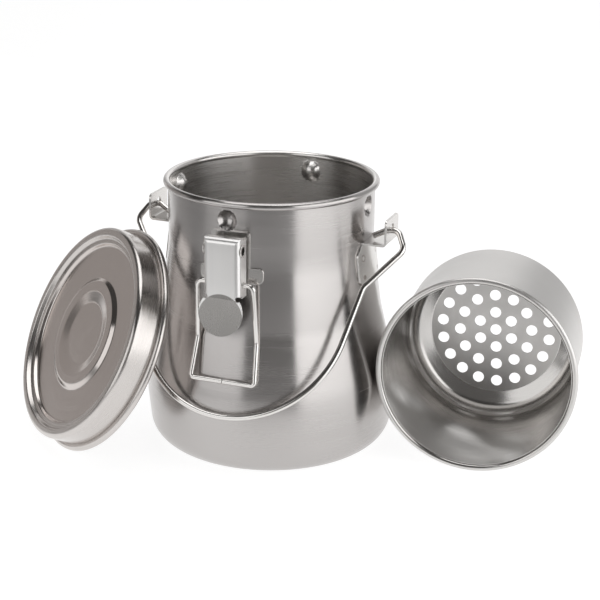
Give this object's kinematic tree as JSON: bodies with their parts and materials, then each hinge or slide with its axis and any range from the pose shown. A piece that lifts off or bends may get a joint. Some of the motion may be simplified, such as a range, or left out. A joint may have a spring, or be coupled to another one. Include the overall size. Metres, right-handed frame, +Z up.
{
  "type": "milk pail",
  "caption": "Lidded stainless steel milk pail with a swinging wire bail, over-centre toggle latches, a separate clamp lid and a drop-in perforated strainer cup.",
  "frame": {"origin": "centre of the pail's flat base, on the floor", "axes": "+Z up along the pail's axis, -Y towards the front latch, +X towards the right bail ear"},
  "size_m": [0.3928, 0.2178, 0.185],
  "materials": {
    "brushed_steel_body": "satin with fine grain round the pail",
    "satin_steel_fittings": "satin",
    "polished_wire": "polished",
    "lid_steel": "polished face, satin skirt",
    "strainer_steel": "satin",
    "white_silicone": "matt"
  },
  "bodies": {
    "pail": {"can_body": "brushed_steel_body", "bail_ear_left": "satin_steel_fittings", "bail_ear_right": "satin_steel_fittings", "front_latch_base": "satin_steel_fittings", "front_latch_pin": "satin_steel_fittings", "rear_latch_base": "satin_steel_fittings", "rear_latch_pin": "satin_steel_fittings"},
    "bail": {"bail_handle": "polished_wire"},
    "front_lever": {"front_latch_lever": "satin_steel_fittings"},
    "front_loop": {"front_latch_loop": "polished_wire"},
    "rear_lever": {"rear_latch_lever": "satin_steel_fittings"},
    "rear_loop": {"rear_latch_loop": "polished_wire"},
    "lid": {"lid_shell": "lid_steel", "lid_seal": "white_silicone"},
    "strainer": {"strainer_body": "strainer_steel"}
  },
  "joints": [
    {"name": "bail_swing", "type": "hinge", "parent": "pail", "child": "bail", "pos_m": [0, 0, 0.1565], "axis": [-1, 0, 0], "range_deg": [0, 283]},
    {"name": "front_lever_lift", "type": "hinge", "parent": "pail", "child": "front_lever", "pos_m": [0, -0.0802, 0.1561], "axis": [-1, 0, 0], "range_deg": [0, 110]},
    {"name": "rear_lever_lift", "type": "hinge", "parent": "pail", "child": "rear_lever", "pos_m": [0, 0.0802, 0.1561], "axis": [1, 0, 0], "range_deg": [0, 110]},
    {"name": "front_loop_swing", "type": "hinge", "parent": "front_lever", "child": "front_loop", "pos_m": [0, -0.079, 0.133], "axis": [1, 0, 0], "range_deg": [-165, 0]},
    {"name": "rear_loop_swing", "type": "hinge", "parent": "rear_lever", "child": "rear_loop", "pos_m": [0, 0.079, 0.133], "axis": [-1, 0, 0], "range_deg": [-165, 0]},
    {"name": "lid_lift_off", "type": "slide", "parent": "pail", "child": "lid", "axis": [-0.57, -0.689, 0.4478], "range_m": [0, 0.6]},
    {"name": "strainer_lift_off", "type": "slide", "parent": "pail", "child": "strainer", "axis": [0.7071, 0, 0.7071], "range_m": [0, 0.2]}
  ],
  "couplings": [
    {"joint": "lid_lift_off", "follows": "bail_swing", "m_per_rad": 0.12}
  ]
}
